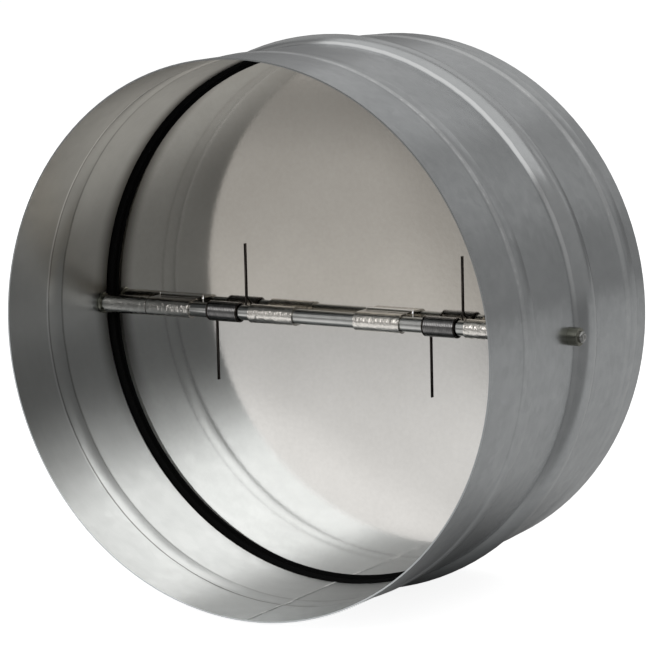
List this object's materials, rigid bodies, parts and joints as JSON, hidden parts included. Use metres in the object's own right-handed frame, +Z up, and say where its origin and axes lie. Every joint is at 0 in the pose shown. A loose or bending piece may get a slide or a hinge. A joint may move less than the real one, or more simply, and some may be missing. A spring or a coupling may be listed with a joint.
{
  "type": "backdraft damper",
  "caption": "Round in-line duct damper: beaded tube casing whose two half-round blades fold towards the outlet and close by springs on a rubber seal.",
  "frame": {"origin": "centre of the casing's outlet rim, the end in front of the picture's viewer", "axes": "+Y runs along the duct's axis from the outlet to the inlet, +X along the spindle to the right as seen from the outlet, and +Z is up"},
  "size_m": [0.262, 0.149, 0.2568],
  "materials": {
    "galvanised_sheet": "galvanised sheet, smooth with soft reflections",
    "seal_rubber": "matte black rubber",
    "blade_sheet": "satin mill-finish sheet",
    "bright_steel": "bright drawn rod",
    "bush_steel": "plain dull steel",
    "spring_steel": "dark oiled spring wire"
  },
  "bodies": {
    "housing": {"casing": "galvanised_sheet", "seal_ring": "seal_rubber", "spindle": "bright_steel", "left_bush": "bush_steel", "right_bush": "bush_steel", "left_spring": "spring_steel", "right_spring": "spring_steel"},
    "upper_blade": {"upper_blade": "blade_sheet"},
    "lower_blade": {"lower_blade": "blade_sheet"}
  },
  "joints": [
    {"name": "upper_blade_hinge", "type": "hinge", "parent": "housing", "child": "upper_blade", "pos_m": [0, 0.0744, 0], "axis": [1, 0, 0], "range_deg": [0, 85], "stiffness_Nm_per_rad": 0.015, "springref_deg": -60.16, "deforming": ["left_spring", "right_spring"]},
    {"name": "lower_blade_hinge", "type": "hinge", "parent": "housing", "child": "lower_blade", "pos_m": [0, 0.0744, 0], "axis": [-1, 0, 0], "range_deg": [0, 85], "stiffness_Nm_per_rad": 0.015, "springref_deg": -60.16, "deforming": ["left_spring", "right_spring"]}
  ]
}
